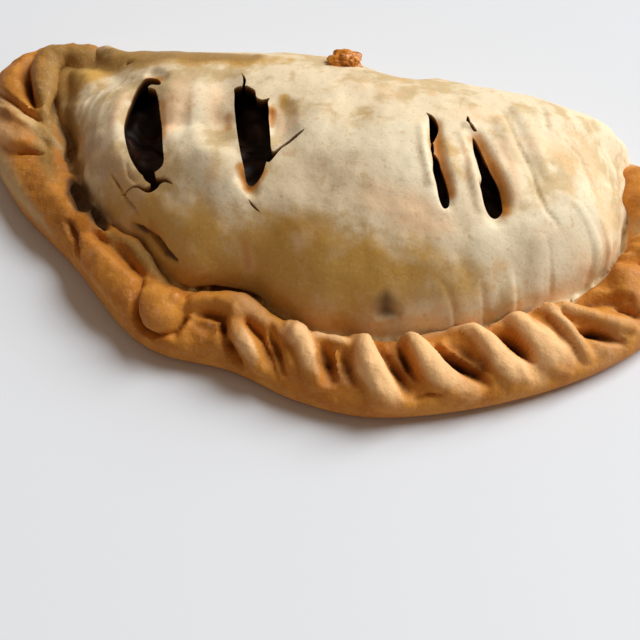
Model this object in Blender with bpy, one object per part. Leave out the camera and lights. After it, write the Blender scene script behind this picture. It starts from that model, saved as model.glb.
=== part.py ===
"""A baked calzone, about 210 mm long, lying on its flat base.

A disc of dough is folded over a dark filling. The fold runs along the back (+Y). The curved open edge, at
the front (-Y), is pinched into a thick rope of slanting pleats. Four vents in the top have torn open and
show the filling, and a blister of browned cheese has leaked out of the fold.

The outer skin is one sheet of stations along the footprint's outline (s, the distance round from the back
left corner, by way of the front) and rows across it (q, the distance up from the outermost edge).
The sizes below are in millimetres, and MM turns them into metres.
"""
import math

import bmesh
import bpy
import numpy as np
from mathutils import Vector, noise

MM = 0.001

# ---- driving sizes, in mm ---------------------------------------------------------------------------------
# The footprint, as x, y, from the back left corner round the crimped front and back along the fold.
OUTLINE = [
    (-96, 54.5), (-105, 39.5), (-100, 15.5), (-85, -5), (-63, -22.5), (-44, -40), (-31, -46.5), (-12, -48),
    (7, -53.5), (27, -54.5), (52, -46.5), (77, -32.5), (95, -15.5), (104, 2.5), (104, 19), (97, 34),
    (84, 43.5), (65, 47.5), (42, 48.5), (19, 52), (-18, 54.5), (-53, 50), (-78, 52.5),
]
# The line along the top of the dome, as x, y, height.
CREST = [(-43, 8.5, 27), (-21, 8.5, 36), (2, 8.5, 41.5), (27, 7.5, 43.5), (51, 8.5, 37)]
# The crimped edge in section, as way in, height: out from under the base, round the rim, over the lip and
# down to the dome. What is below the ground is cut off level.
CRIMP_SECTION = [
    (12, -2), (6, -2), (2.6, 0), (0.6, 2.2), (0, 4.6), (0.6, 7), (2.4, 9.6), (5.4, 11.8), (9, 13),
    (12.2, 13.3), (14.3, 12.5), (15.6, 10.8), (16.3, 9.1), (17, 8),
]
CRIMP_WIDTH = 17
# The plain fold in section, with as many points.
FOLD_SECTION = [
    (12, -2), (6, -2), (3.4, -0.4), (2.4, 0.5), (1.6, 1.8), (1, 3), (0.5, 4.4), (0.2, 5.6), (0, 6.8),
    (-0.1, 8), (0, 9), (0, 10), (0.1, 11), (0.2, 12),
]
# The width of the edge at places round the outline, as s, width.
EDGE_WIDTH = [
    (0, 17), (18, 27), (38, 29.5), (55, 24.5), (75, 17.5), (88, 15), (98, 15.5), (110, 17.5), (132, 17.5),
    (142, 20), (154, 20),
    (163, 18.5), (178, 18.5), (190, 20.5), (230, 20.5), (250, 22), (262, 21), (290, 22), (308, 22),
    (324, 19), (338, 13), (350, 9), (495, 9), (512, 12),
]
CRIMP_START, CRIMP_END = -14, 356    # s where the pleats begin and where they have died into the fold
CRIMP_FADE = 20
CREST_SHARE = 104                    # half the outline's length that the crest line stands for

DENT_POWER = 1.6                     # steepness of the sides of a dent
GROOVE, GROOVE_WIDTH = 23, 3.5       # q and half width of the groove between crimp and dome,
GROOVE_SHARE = 0.85                  # and the share of a ridge's height that is lost in it
TOP_START, TOP_FULL = 20, 27         # heights between which the dome's top begins to be smoothed
TOP_PASSES = 70
DOUGH = 3.2                          # thickness of the dough over the filling
SEAM_DOUGH = 6                       # and where the dome meets the crimp
FLOOR = 3.5                          # and underneath
GAP = 0.35                           # air between touching pieces
ROOM = 6                             # least height inside, under the crest
SUNK = 5.5                           # how far the filling has dropped below the dough
LUMP, LUMP_SIZE = 1.1, 9             # height and spacing of the lumps in the filling

# Relief of the edge, as strokes of points (s, q, half width, height). Ridges are pleats and lips, dents are
# thumb marks and creases.
EDGE_RELIEF = [
    # back left corner: a curled leaf of dough beside a crevice, over a hollow
    [(-2, 16, 5, 1.6), (8, 19, 7, 4), (19, 20, 6.5, 4.6), (30, 17, 4, 3)],
    [(9, 11, 2.4, -2), (15, 13.5, 3, -4.6), (24, 14.5, 2.4, -4)], [(19, 8, 4, -1.6), (28, 11.5, 5, -2.4)],
    [(16, 26, 3, -1), (22, 25.5, 3, -2.4), (29, 21.5, 2.6, -2)],
    [(-17, 26, 9, 3.5), (-8, 27, 9, 4.5), (2, 29, 8, 2)],
    # left end: a lobe with a nick in it, then a broad smooth band with two pits behind it
    [(33, 10, 4, 1.6), (40, 15, 5, 2.4), (50, 18, 4, 1.8)], [(30, 13, 2, -3), (36, 14, 1.6, -2)],
    [(53, 10, 1.4, -1), (53, 15, 1.8, -2)], [(60, 8, 7, 1.2), (84, 8, 8, 1.6)],
    [(85, 19, 3, -3.5), (91, 18, 3.4, -5)], [(97, 17.5, 2.4, -4), (102, 17, 2.4, -4)],
    # a narrow lobe lying back from the dome, its top edge lifted
    [(91.5, 8.5, 1.4, -1.6), (93.5, 4, 1.8, -2.6), (95, 1.5, 1.4, -1.2)],
    [(95, 8, 3, 1.6), (104, 9, 4.5, 2.6), (116, 8.5, 5, 2.2)],
    [(97, 15, 3, -2.4), (108, 15.5, 4, -3.4), (116, 15, 3, -2)],
    # a round knob of dough behind a crescent crease
    [(128, 12.5, 5, 2.6), (132.5, 10.5, 6, 3.2)],
    [(121.5, 13.5, 1.4, -1.6), (124.5, 9.5, 1.8, -2.6), (127, 6.2, 1.8, -3), (130.5, 4.2, 1.8, -3.2),
     (135, 4.2, 1.6, -2.6), (138.5, 6, 1.2, -1.2)],
    [(136.5, 15.5, 1.4, -1.6), (139.5, 10.5, 2, -3), (139.5, 6, 1.6, -2)],
    # a long curved lip with a gap behind it and a hollow in front
    [(135.5, 15.5, 2, 1.4), (141, 17.5, 3, 2), (148, 18.5, 3.2, 2.4), (155, 17.5, 3.4, 2.4),
     (163, 16, 3, 1.8),
     (171, 15, 3, 1.4)],
    [(138, 22.5, 1.8, -2.5), (146, 23.5, 2.6, -4.5), (155, 22.5, 2.6, -4.5), (161, 20, 1.8, -3)],
    [(142, 13.5, 1.8, -2), (147, 13, 2.8, -4), (151.5, 12, 2.4, -3.4), (152.5, 9.5, 1.6, -2)],
    # a finger of dough between two creases
    [(151.5, 12, 1.2, -1.5), (155, 8, 2, -3.2), (159.5, 3.5, 1.6, -1.8)],
    [(153.5, 13, 1.8, 1), (157, 11, 3, 2.4), (162, 8, 3.4, 2.4), (166, 4, 2.8, 1.4)],
    [(158.5, 13, 1.2, -1.6), (162.5, 10, 2, -3), (168.5, 5, 1.6, -1.8)],
    [(171, 12.5, 1.6, -1.6), (173.5, 9, 2.6, -3.2), (176, 5, 1.8, -1.6)],
    # the front: slanting pleats, each with a thumb mark beside it
    [(173, 17, 3, 1.5), (176.5, 13.5, 3.6, 2.6), (179.5, 9.5, 3.4, 2.4), (183, 4.5, 3, 1.2)],
    [(178.8, 15, 1.8, -3), (181.4, 11, 2.5, -4.6), (184.5, 6, 1.8, -2.4)],
    [(180, 12, 3, -1.2), (189, 8.5, 4, -1.6)],
    [(185.8, 13, 1.8, -2.4), (188.6, 10, 2.5, -3.8), (191.5, 5.5, 1.8, -2)],
    [(190, 17.5, 3.5, 1.5), (194, 14, 5, 2.6), (198, 8.5, 5.2, 2.6), (201.5, 3, 4.5, 1.4)],
    [(200.8, 16, 3, -2.6), (203.4, 11.5, 4.2, -4.4), (205, 6, 3.2, -2.4)],
    [(206, 14.5, 1.8, -1.6), (207.5, 9.5, 1.8, -1.4)],
    [(207.5, 18, 1.8, 1.6), (210.5, 15.5, 3.2, 2.8), (215, 9.5, 4.8, 2.8), (219.5, 3.5, 4.4, 1.4)],
    [(217.5, 15.5, 1.8, -3), (220.5, 10.5, 2.6, -4.8), (226, 4.5, 2, -2.6)],
    [(222, 15, 3, -2), (226, 11, 4.6, -3.2), (231, 6, 3.4, -1.8)],
    [(216.5, 19, 1.8, 1), (222, 19, 2.6, 2), (229, 18, 3.2, 2.2), (233, 14, 4.4, 2.8),
     (236.5, 7.5, 5.2, 2.8),
     (240, 2.5, 4.2, 1.2)],
    [(233.5, 18, 1.4, -1.8), (237, 12.5, 3, -4.6), (242.5, 7, 2.2, -2.8)],
    [(237, 19, 2.8, 1.2), (243.5, 14, 5, 2.2), (248, 7, 5.2, 2), (251.5, 2.5, 4, 1)],
    [(249, 18.5, 1.8, -2.2), (250.5, 14.5, 2.8, -3.2), (253.5, 11, 1.6, -1.4)],
    [(254.5, 17, 3, 1.8), (257, 10.5, 4.4, 2.6), (260.5, 4, 4.2, 1.6)],
    # right end: one long hollow under a lip, then two plainer folds
    [(259.5, 12, 2, -3.8), (264, 10, 3.2, -5.4), (272, 9, 3.6, -4.4), (285, 9, 3, -2.4)],
    [(259, 17, 2.2, 1.2), (266, 15, 3, 2.4), (276, 14, 3.4, 2.2), (290, 14, 3, 1.5)],
    [(291, 18, 3, -3), (298, 13, 3.2, -4.4), (306, 5, 2.4, -2.6)],
    [(300, 17, 5, 2.2), (307, 11, 5, 2.6), (311, 5, 4, 1.6)],
    # folds that run from the right end up the foot of the dome, and a pit in the foot of it at the front
    [(286, 48, 4, 1), (284, 36, 4, 2), (276, 26, 3.5, 2)],
    [(294, 40, 3.5, 1.2), (290, 30, 3.5, 2), (284, 23, 3, 1.6)],
    [(202, 31, 2.6, -3), (203, 29, 2.6, -3)],
    [(306, 18, 5, 1.6), (314, 16, 6, 3), (324, 15, 7, 3.6), (334, 14, 6, 2.4)],
    [(315, 9, 2.4, -2.6), (320, 4, 3, -2)],
    [(328, 8, 2.8, -2.4), (332, 4, 3, -2)],
]
# Relief of the dome, as strokes of points (x, y, half width, height).
DOME_RELIEF = [
    [(-33, 12, 14, 1.8), (-31, -2, 14, 1.4)], [(2, 8, 22, 1), (20, 0, 22, 1.4)],
    [(7, 16, 10, -1), (3, -8, 10, -1.2)],
    [(-84, 36, 22, -3), (-66, 34, 20, -3.4)], [(10, 44, 9, -2.5), (17, 42, 10, -4)],
    [(40, 40, 16, 0.8), (52, 36, 14, 0.8)],
    [(40, -24, 10, 1), (56, -14, 10, 1)],
    [(-62, 20, 10, 1.2), (-60, 4, 10, 1.5)], [(-50, -14, 8, 1.4), (-38, -26, 8, 1.4)],
    [(-48, -9, 3, -1.2), (-38, -17, 4, -2), (-27, -24, 4, -2), (-17, -28, 3, -1)],
]
# The vents, as points (x, y, half width) down the middle of each opening.
VENTS = [
    [(-52.5, 23.5, 1.2), (-52, 19, 3.4), (-50.5, 12, 5), (-48.2, 5, 5.2), (-45.2, -1, 4), (-43, -6.5, 0.8)],
    [(-23.2, 20.8, 2.6), (-21, 15.5, 3.8), (-19.2, 10, 4), (-17, 4, 4.3), (-14.8, -3, 3.6),
     (-14.2, -11, 0.9)],
    [(28.2, 15.8, 0.7), (29.8, 11, 1.3), (30.8, 6.4, 0.7)],
    [(30.6, 1.4, 0.7), (33.2, -4.5, 1.4), (36.8, -12, 0.7)],
    [(39.3, 16, 0.7), (41.5, 10.5, 1.3), (43.6, 5, 1.8), (46.8, -2, 2.3), (49.8, -9.2, 0.9)],
]
VENT_FROM, VENT_TO = 12, 60                     # heights between which the vents are cut
LEAK_AT, LEAK_SIZE = (0.5, 39.5), (12, 8, 7)    # the blister of cheese: x, y, and length, depth, height
LEAK_BUMP, LEAK_BUMPS = 0.28, 2.3               # share by which it bulges, and how many bulges to its size
LEAK_GAP = 0.5                                  # its distance from the unthinned dough

# Fineness: the skin is laid out finely, then thinned.
STATIONS, EDGE_ROWS, DOME_ROWS = 560, 64, 64
FOOT_ROWS = (58, 72)                 # rows between which the dome's own relief sets in
LAST_ROWS = (12, 4)                  # rows from the crest between which relief turns upright
NORMAL_PASSES = 12
TINY = 1e-9
SKIN_VOXEL = 0.9
SKIN_TRIANGLES = 8600
INNER_STATIONS, INNER_ROWS, INNER_LAST = 72, 12, 0.94
CURVE_POINTS = 600


# ---- curves -----------------------------------------------------------------------------------------------
def smooth_curve(points, count, closed=False):
    """A Catmull-Rom curve through the points."""
    knots = np.asarray(points, float)
    if closed:
        knots = np.vstack([knots[-1:], knots, knots[:2]])
    else:
        knots = np.vstack([2 * knots[0] - knots[1], knots, 2 * knots[-1] - knots[-2]])
    spans = len(knots) - 3
    t = np.linspace(0, spans, count, endpoint=not closed)
    i = np.minimum(t.astype(int), spans - 1)
    f = (t - i)[:, None]
    a, b, c, d = knots[i], knots[i + 1], knots[i + 2], knots[i + 3]
    return 0.5 * (2 * b + (c - a) * f + (2 * a - 5 * b + 4 * c - d) * f**2 + (3 * b - a - 3 * c + d) * f**3)


def run_length(points):
    return np.concatenate([[0], np.cumsum(np.linalg.norm(np.diff(points, axis=0), axis=1))])


def read_off(places, at, values):
    return np.stack([np.interp(places, at, column) for column in values.T], axis=1)


def fade(start, end, x):
    """0 at start, 1 at end, smooth between."""
    t = np.clip((x - start) / (end - start), 0, 1)
    return t * t * (3 - 2 * t)


def round_trip(pairs, s, length):
    """The value at s, eased between the (place, value) pairs of a closed loop."""
    places, values = np.asarray(pairs, float).T
    places = np.concatenate([places[-1:] - length, places, places[:1] + length])
    values = np.concatenate([values[-1:], values, values[:1]])
    i = np.clip(np.searchsorted(places, s) - 1, 0, len(places) - 2)
    return values[i] + (values[i + 1] - values[i]) * fade(places[i], places[i + 1], s)


# ---- the skin ---------------------------------------------------------------------------------------------
def footprint(stations):
    """The outline, evenly spaced and centred on the origin, with its s and whole length."""
    fine = smooth_curve(OUTLINE, 6 * CURVE_POINTS, closed=True)
    fine -= (fine.min(0) + fine.max(0)) / 2
    fine = np.vstack([fine, fine[:1]])
    at = run_length(fine)
    s = np.linspace(0, at[-1], stations, endpoint=False)
    return read_off(s, at, fine), s, at[-1]


def crest_points(outline):
    """For each outline point, the point of the crest line that the dome climbs to."""
    line = smooth_curve(CREST, CURVE_POINTS)
    share = np.clip(outline[:, 0] / CREST_SHARE, -1, 1)
    low, high = CREST[0][0], CREST[-1][0]
    return read_off((low + high) / 2 + (high - low) / 2 * share, line[:, 0], line)


def edge_rows(outline, crest, s, length, rows):
    """The rows from the flat base out, over the crimp or the fold, to the foot of the dome, and their q."""
    crimp = smooth_curve(CRIMP_SECTION, CURVE_POINTS)
    fold = smooth_curve(FOLD_SECTION, CURVE_POINTS)
    at = run_length(crimp)
    at -= at[np.argmin(crimp[:, 0])]
    q = np.linspace(at[0], at[-1], rows)
    crimp, fold = read_off(q, at, crimp), read_off(q, at, fold)
    widths = round_trip(EDGE_WIDTH, s, length) / CRIMP_WIDTH
    wide = crimp[None] * np.stack([widths, np.ones_like(widths)], axis=1)[:, None]
    turned = np.where(s > (CRIMP_END + length) / 2, s - length, s)
    share = fade(CRIMP_START - CRIMP_FADE / 2, CRIMP_START + CRIMP_FADE / 2, turned)
    share = (share * (1 - fade(CRIMP_END - CRIMP_FADE, CRIMP_END, turned)))[:, None, None]
    section = share * wide + (1 - share) * fold
    inward = crest[:, :2] - outline
    inward /= np.linalg.norm(inward, axis=1)[:, None]
    flat = outline[:, None] + inward[:, None] * section[..., :1]
    return np.concatenate([flat, section[..., 1:]], axis=2), q


def dome_rows(foot, crest, rows, last=1.0):
    """Quarter ellipses from the foot of the dome to the crest, or to a share of the way."""
    angle = np.linspace(0, math.pi / 2 * last, rows + 1)[1:]
    out, up = np.cos(angle)[None, :, None], np.sin(angle)[None, :, None]
    flat = crest[:, None, :2] + (foot[:, None, :2] - crest[:, None, :2]) * out
    height = foot[:, None, 2:] + (crest[:, None, 2:] - foot[:, None, 2:]) * up
    return np.concatenate([flat, height], axis=2)


def normals(grid):
    """Outward directions of a sheet closed along its first axis, eased so that no relief folds over."""
    along = np.roll(grid, -1, axis=0) - np.roll(grid, 1, axis=0)
    across = np.gradient(grid, axis=1)
    out = np.cross(along, across)
    for _ in range(NORMAL_PASSES):
        out /= np.maximum(np.linalg.norm(out, axis=2), TINY)[..., None]
        out = out + np.roll(out, 1, axis=0) + np.roll(out, -1, axis=0)
        out[:, 1:-1] = out[:, 1:-1] + out[:, :-2] + out[:, 2:]
    return out / np.maximum(np.linalg.norm(out, axis=2), TINY)[..., None]


def relief(places, strokes, power, loop=None):
    """The height at each place under every stroke that reaches it; power is how steep a dent's sides are."""
    total = np.zeros(places.shape[:-1])
    for stroke in strokes:
        nearest, height = np.ones_like(total), np.zeros_like(total)
        for a, b in zip(np.array(stroke[:-1], float), np.array(stroke[1:], float)):
            offset = places - a[:2]
            if loop:
                offset[..., 0] = (offset[..., 0] + loop / 2) % loop - loop / 2
            run = b[:2] - a[:2]
            share = np.clip((offset @ run) / (run @ run), 0, 1)
            away = np.linalg.norm(offset - share[..., None] * run, axis=-1) / (a[2] + (b[2] - a[2]) * share)
            closer = away < nearest
            nearest = np.where(closer, away, nearest)
            height = np.where(closer, a[3] + (b[3] - a[3]) * share, height)
        total += height * (1 - nearest ** np.where(height < 0, power, 2)) ** 2
    return total


def skin():
    """The whole outer sheet, from the base to the crest, where the front and the back of the dome meet."""
    outline, s, length = footprint(STATIONS)
    crest = crest_points(outline)
    edge, q = edge_rows(outline, crest, s, length, EDGE_ROWS)
    dome = dome_rows(edge[:, -1], crest, DOME_ROWS)
    grid = np.concatenate([edge, dome], axis=1)
    reach = np.linalg.norm(dome - edge[:, -1:], axis=2)
    q = np.concatenate([np.broadcast_to(q, edge.shape[:2]), q[-1] + reach], axis=1)
    places = np.stack([np.broadcast_to(s[:, None], q.shape), q], axis=2)
    row = np.arange(q.shape[1])
    rise = relief(places, EDGE_RELIEF, DENT_POWER, loop=length)
    raised = rise > 0
    rise[raised] *= 1 - GROOVE_SHARE * np.exp(-((q[raised] - GROOVE) / GROOVE_WIDTH) ** 2)
    rise += relief(grid[..., :2], DOME_RELIEF, 2) * fade(*FOOT_ROWS, row)
    rise *= fade(0, 3, q)
    top = fade(*(len(row) - back for back in LAST_ROWS), row)[None, :, None]
    return grid + (normals(grid) * (1 - top) + np.array([0, 0, 1]) * top) * rise[..., None]


# ---- meshes -----------------------------------------------------------------------------------------------
def closed_mesh(name, grid):
    """A solid from a sheet that runs round anticlockwise and climbs: its first and last rows become caps."""
    stations, rows = grid.shape[:2]
    bm = bmesh.new()
    ring = [[bm.verts.new(Vector(point) * MM) for point in row] for row in grid.tolist()]
    for i in range(stations):
        j = (i + 1) % stations
        for k in range(rows - 1):
            bm.faces.new((ring[i][k], ring[j][k], ring[j][k + 1], ring[i][k + 1]))
    bm.faces.new([ring[i][0] for i in reversed(range(stations))])
    bm.faces.new([ring[i][-1] for i in range(stations)])
    bmesh.ops.triangulate(bm, faces=[face for face in bm.faces if len(face.verts) > 4])
    mesh = bpy.data.meshes.new(name)
    bm.to_mesh(mesh)
    bm.free()
    return mesh


def add(name, mesh, material=None):
    piece = bpy.data.objects.new(name, mesh)
    bpy.context.scene.collection.objects.link(piece)
    if material:
        mesh.materials.append(material)
    return piece


def hide(piece):
    piece.hide_render = True
    piece.display_type = "WIRE"


def applied(piece):
    """The piece's mesh with its modifiers worked in."""
    bpy.context.view_layer.update()
    seen = piece.evaluated_get(bpy.context.evaluated_depsgraph_get())
    mesh = bpy.data.meshes.new_from_object(seen)
    piece.modifiers.clear()
    piece.data = mesh
    return mesh


def smooth_top(piece):
    """Takes out the seam where the front and the back of the dome meet."""
    top = piece.vertex_groups.new(name="top")
    for vert in piece.data.vertices:
        top.add([vert.index], float(fade(TOP_START, TOP_FULL, vert.co.z / MM)), "REPLACE")
    smooth = piece.modifiers.new("smooth", "SMOOTH")
    smooth.vertex_group = "top"
    smooth.iterations = TOP_PASSES
    applied(piece)


def thin(piece, triangles):
    """Fewer triangles, kept where the form bends most."""
    decimate = piece.modifiers.new("thin", "DECIMATE")
    decimate.ratio = triangles / (2 * len(piece.data.polygons))
    applied(piece)


def flatten_base(mesh):
    """Cut level with the ground and close the cut with one flat face."""
    bm = bmesh.new()
    bm.from_mesh(mesh)
    everything = bm.verts[:] + bm.edges[:] + bm.faces[:]
    bmesh.ops.bisect_plane(bm, geom=everything, plane_co=(0, 0, 0), plane_no=(0, 0, 1), clear_inner=True)
    rim = [edge for edge in bm.edges if edge.is_boundary]
    for vert in {vert for edge in rim for vert in edge.verts}:
        vert.co.z = 0
    bmesh.ops.holes_fill(bm, edges=rim)
    bmesh.ops.triangulate(bm, faces=bm.faces)
    bmesh.ops.recalc_face_normals(bm, faces=bm.faces)
    bm.to_mesh(mesh)
    bm.free()


def dough_material(name, colour, roughness):
    material = bpy.data.materials.new(name)
    material.use_nodes = True
    surface = material.node_tree.nodes["Principled BSDF"]
    surface.inputs["Base Color"].default_value = (*colour, 1)
    surface.inputs["Roughness"].default_value = roughness
    surface.inputs["Metallic"].default_value = 0
    return material


def inner_form(name, clear, drop=0.0, lumps=0.0):
    """The space inside the dough, smaller all round by clear, and lower on top by drop, with lumps."""
    outline, s, length = footprint(INNER_STATIONS)
    crest = crest_points(outline)
    foot = edge_rows(outline, crest, s, length, EDGE_ROWS)[0][:, -1]
    inward = crest[:, :2] - foot[:, :2]
    inward /= np.linalg.norm(inward, axis=1)[:, None]
    foot[:, :2] += inward * (SEAM_DOUGH + clear)
    foot[:, 2] = FLOOR + clear
    crest[:, 2] -= DOUGH + clear
    crest[:, 2] -= drop
    grid = np.concatenate([foot[:, None], dome_rows(foot, crest, INNER_ROWS, last=INNER_LAST)], axis=1)
    climb = np.linspace(0, 1, INNER_ROWS + 1)
    inside = fade(0, 0.35, climb)
    grid[..., 2] += relief(grid[..., :2], DOME_RELIEF, 2) * inside
    grid[..., 2] = np.maximum(grid[..., 2], FLOOR + clear + ROOM * climb)
    if lumps:
        for row in grid:
            row[:, 2] += [
                lumps * noise.noise(Vector(point) / LUMP_SIZE) * share for point, share in zip(row, inside)
            ]
    return closed_mesh(name, grid)


def vent_cutter(name, middle):
    """An upright prism over a vent's opening."""
    line = smooth_curve(middle, 4 * len(middle) - 3)
    along = np.gradient(line[:, :2], axis=0)
    side = np.stack([along[:, 1], -along[:, 0]], axis=1) / np.linalg.norm(along, axis=1)[:, None]
    edge = np.concatenate([line[:, :2] + side * line[:, 2:], (line[:, :2] - side * line[:, 2:])[::-1]])
    levels = [np.column_stack([edge, np.full(len(edge), level)]) for level in (VENT_FROM, VENT_TO)]
    grid = np.stack(levels, axis=1)
    return closed_mesh(name, grid)


# ---- the pieces -------------------------------------------------------------------------------------------
def make_crust():
    dough = dough_material("baked_dough", (0.62, 0.40, 0.19), 0.62)
    crust = add("crust", closed_mesh("crust", skin()), dough)
    remesh = crust.modifiers.new("even", "REMESH")
    remesh.mode = "VOXEL"
    remesh.voxel_size = SKIN_VOXEL * MM
    applied(crust)
    smooth_top(crust)
    thin(crust, SKIN_TRIANGLES)
    flatten_base(crust.data)
    return crust


def hollow_out(crust):
    cutters = [add("hollow_cutter", inner_form("hollow_cutter", 0))]
    for i, vent in enumerate(VENTS):
        name = f"vent_cutter_{i + 1}"
        cutters.append(add(name, vent_cutter(name, vent)))
    for cutter in cutters:
        hide(cutter)
        cut = crust.modifiers.new(cutter.name, "BOOLEAN")
        cut.operation = "DIFFERENCE"
        cut.solver = "EXACT"
        cut.object = cutter


def make_filling():
    mesh = inner_form("filling", GAP, drop=SUNK, lumps=LUMP)
    add("filling", mesh, dough_material("dark_filling", (0.045, 0.022, 0.012), 0.5))


def make_leaked_cheese(crust):
    """A rough lump, cut where it would sink into the dough."""
    bm = bmesh.new()
    bmesh.ops.create_icosphere(bm, subdivisions=3, radius=1)
    surface = crust.data
    x, y = LEAK_AT
    under = crust.ray_cast(Vector((x, y, 100)) * MM, Vector((0, 0, -1)))[1].z / MM
    for vert in bm.verts:
        bump = 1 + LEAK_BUMP * noise.noise(vert.co * LEAK_BUMPS)
        place = [centre + half * part * bump for centre, half, part in
                 zip((x, y, under), (size / 2 for size in LEAK_SIZE), vert.co)]
        vert.co = Vector(place) * MM
    mesh = bpy.data.meshes.new("leaked_cheese")
    bm.to_mesh(mesh)
    bm.free()
    lump = add("leaked_cheese", mesh, dough_material("browned_cheese", (0.42, 0.17, 0.03), 0.42))
    keep_off = add("leak_cutter", surface.copy())
    for vert, normal in zip(keep_off.data.vertices, [v.normal.copy() for v in surface.vertices]):
        vert.co += normal * LEAK_GAP * MM
    hide(keep_off)
    cut = lump.modifiers.new("clear of the dough", "BOOLEAN")
    cut.operation = "DIFFERENCE"
    cut.solver = "EXACT"
    cut.object = keep_off


def main():
    for piece in list(bpy.data.objects):
        bpy.data.objects.remove(piece)
    crust = make_crust()
    make_leaked_cheese(crust)
    hollow_out(crust)
    make_filling()


main()
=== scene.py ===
"""A baked calzone on a plain pale floor. Sizes in the form tables are in mm; MM turns them into metres."""
import math

import bmesh
import bpy
import numpy as np
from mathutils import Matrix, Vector, noise
from mathutils.kdtree import KDTree


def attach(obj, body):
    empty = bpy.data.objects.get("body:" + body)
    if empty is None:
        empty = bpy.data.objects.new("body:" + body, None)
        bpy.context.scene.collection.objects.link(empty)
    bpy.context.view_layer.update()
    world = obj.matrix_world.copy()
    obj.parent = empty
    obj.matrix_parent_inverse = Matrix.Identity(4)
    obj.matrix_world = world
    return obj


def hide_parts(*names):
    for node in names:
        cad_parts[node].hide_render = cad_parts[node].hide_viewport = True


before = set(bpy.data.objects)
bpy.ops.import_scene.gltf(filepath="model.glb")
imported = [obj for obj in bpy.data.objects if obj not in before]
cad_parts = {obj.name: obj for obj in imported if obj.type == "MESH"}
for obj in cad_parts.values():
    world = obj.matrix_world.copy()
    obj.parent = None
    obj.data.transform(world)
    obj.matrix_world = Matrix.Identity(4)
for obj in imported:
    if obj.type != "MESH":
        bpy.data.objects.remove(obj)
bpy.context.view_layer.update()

# ---- crust ------------------------------------------------------------------------------------------------
# One disc of bread dough, folded over the filling at the back and pinched shut along the front, where the
# edge is rolled into a rope of slanting pleats. It is baked until the rope browns, and steam has torn the
# knife slits open.
MM = 0.001
OUTLINE = [    # the footprint, as x, y, from the back left corner round the front and back along the fold
    (-96, 54.5), (-105, 39.5), (-100, 15.5), (-85, -5), (-63, -22.5), (-44, -40), (-31, -46.5), (-12, -48),
    (7, -53.5), (27, -54.5), (52, -46.5), (77, -32.5), (95, -15.5), (104, 2.5), (104, 19), (97, 34),
    (84, 43.5), (65, 47.5), (42, 48.5), (19, 52), (-18, 54.5), (-53, 50), (-78, 52.5),
]
CREST = [(-43, 8.5, 27), (-21, 8.5, 36), (2, 8.5, 41.5), (27, 7.5, 43.5), (51, 8.5, 37)]    # x, y, height
PINCHED_SECTION = [    # way in, height: from under the base round the rim, over the lip and down to the dome
    (12, -2), (6, -2), (2.6, 0), (0.6, 2.2), (0, 4.6), (0.6, 7), (2.4, 9.6), (5.4, 11.8), (9, 13),
    (12.2, 13.3), (14.3, 12.5), (15.6, 10.8), (16.3, 9.1), (17, 8),
]
FOLDED_SECTION = [
    (12, -2), (6, -2), (3.4, -0.4), (2.4, 0.5), (1.6, 1.8), (1, 3), (0.5, 4.4), (0.2, 5.6), (0, 6.8),
    (-0.1, 8), (0, 9), (0, 10), (0.1, 11), (0.2, 12),
]
ROPE_WIDTH = [    # the width of the edge at s, the distance round the outline
    (0, 17), (18, 27), (38, 29.5), (55, 24.5), (75, 17.5), (88, 15), (98, 15.5), (110, 17.5), (132, 17.5),
    (142, 20), (154, 20), (163, 18.5), (178, 18.5), (190, 20.5), (230, 20.5), (250, 22), (262, 21), (290, 22),
    (308, 22), (324, 19), (338, 13), (350, 9), (495, 9), (512, 12),
]
PINCH_STARTS, PINCH_ENDS = (-24, -4), (336, 356)    # the s over which folded turns to pinched, and back
CREST_REACH = 104    # the outline's x from which the dough runs up to the crest's end
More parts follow.
